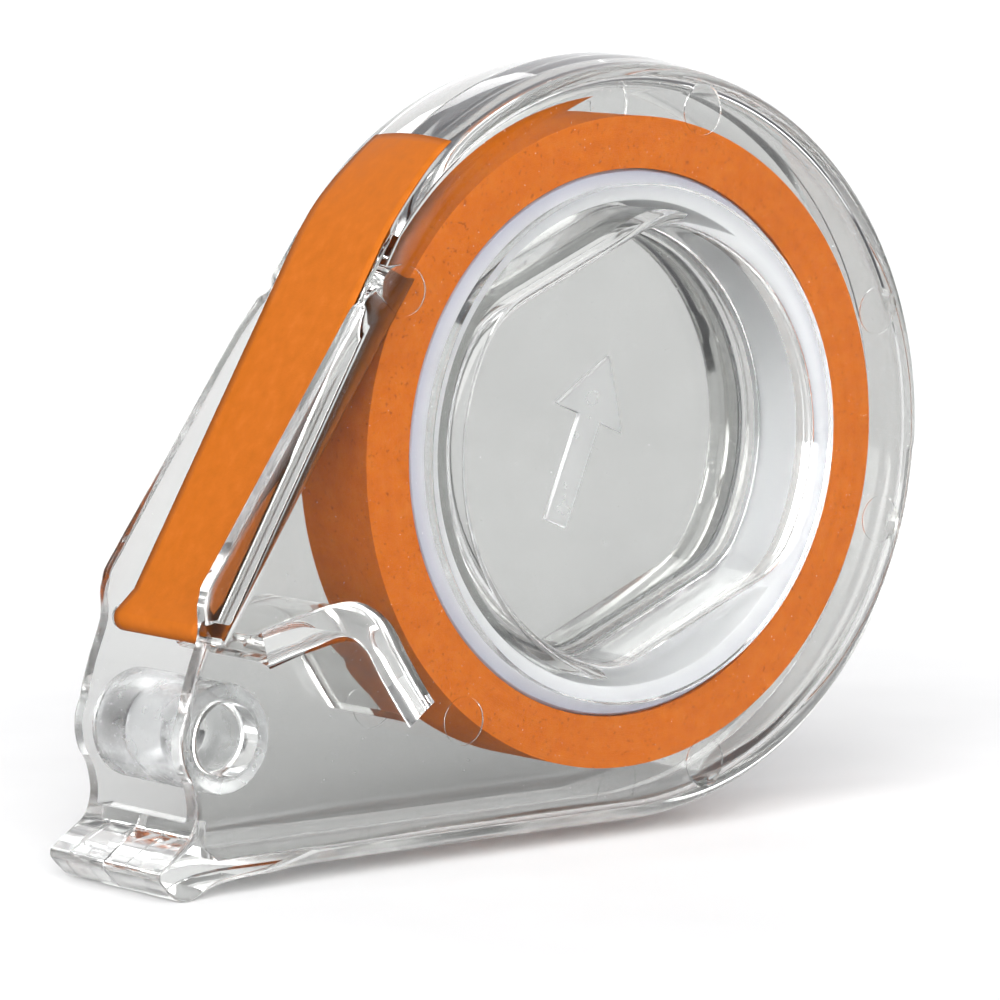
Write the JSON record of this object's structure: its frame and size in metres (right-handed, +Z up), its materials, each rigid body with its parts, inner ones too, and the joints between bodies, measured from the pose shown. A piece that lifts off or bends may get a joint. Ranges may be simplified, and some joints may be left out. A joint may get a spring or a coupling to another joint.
{
  "type": "tape dispenser",
  "caption": "Clear teardrop hand dispenser with a roll of narrow orange cover-up tape on a white core, a hollow nose roller and a flared tear lip.",
  "frame": {"origin": "bottom centre of the object's box, under the middle of its length, on the surface it stands on", "axes": "+Z up, +X from the nose to the round end, +Y along the roll's axis, from the side with the deep open bowl to the back"},
  "size_m": [0.0772, 0.0142, 0.0613],
  "materials": {
    "clear_plastic": "polished clear polystyrene",
    "white_core": "smooth white core",
    "orange_tape": "satin orange film",
    "clear_roller": "clear moulded roller, slightly hazy"
  },
  "bodies": {
    "case": {"case_front": "clear_plastic", "case_back": "clear_plastic", "tape_lead": "orange_tape"},
    "reel": {"tape_core": "white_core", "tape_roll": "orange_tape"},
    "roller": {"nose_roller": "clear_roller"}
  },
  "joints": [
    {"name": "reel_spin", "type": "hinge", "parent": "case", "child": "reel", "pos_m": [0.00852, 0, 0.03095], "axis": [0, -1, 0], "continuous": true},
    {"name": "roller_spin", "type": "hinge", "parent": "case", "child": "roller", "pos_m": [-0.03138, 0, 0.01165], "axis": [0, -1, 0], "continuous": true}
  ]
}
